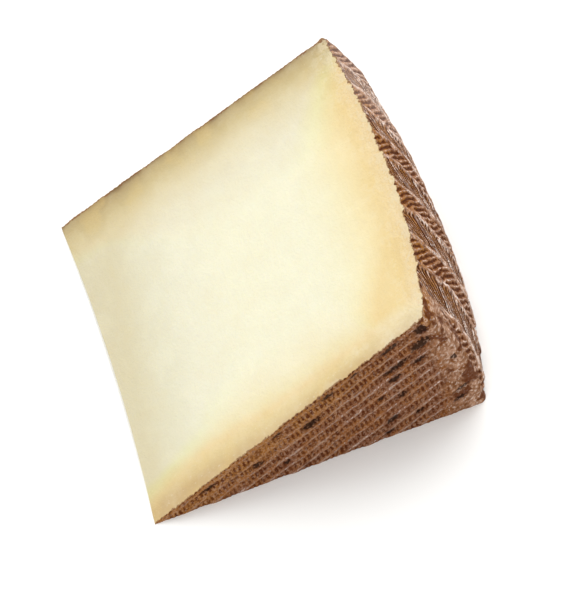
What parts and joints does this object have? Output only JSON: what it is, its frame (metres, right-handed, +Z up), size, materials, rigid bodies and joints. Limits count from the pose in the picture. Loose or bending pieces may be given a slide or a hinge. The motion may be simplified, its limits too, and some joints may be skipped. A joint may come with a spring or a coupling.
{
  "type": "wedge of hard pressed cheese",
  "caption": "Wedge of hard pressed cheese with smooth pale paste and a brown plait-pressed rind, lying on one cut face.",
  "frame": {"origin": "middle of the bounding box's base, on the surface that the wedge lies on", "axes": "+Z up from the lower cut face; the wheel's axis runs along Y with its pitted front face at -Y; the tip points to -X and the rind wall faces +X"},
  "size_m": [0.0944, 0.1, 0.0451],
  "materials": {
    "cheese": "smooth, slightly waxy pale paste on the cut faces, and a dry brown pressed rind on the outside"
  },
  "bodies": {
    "root": {"cheese_wedge": "cheese"}
  },
  "joints": []
}
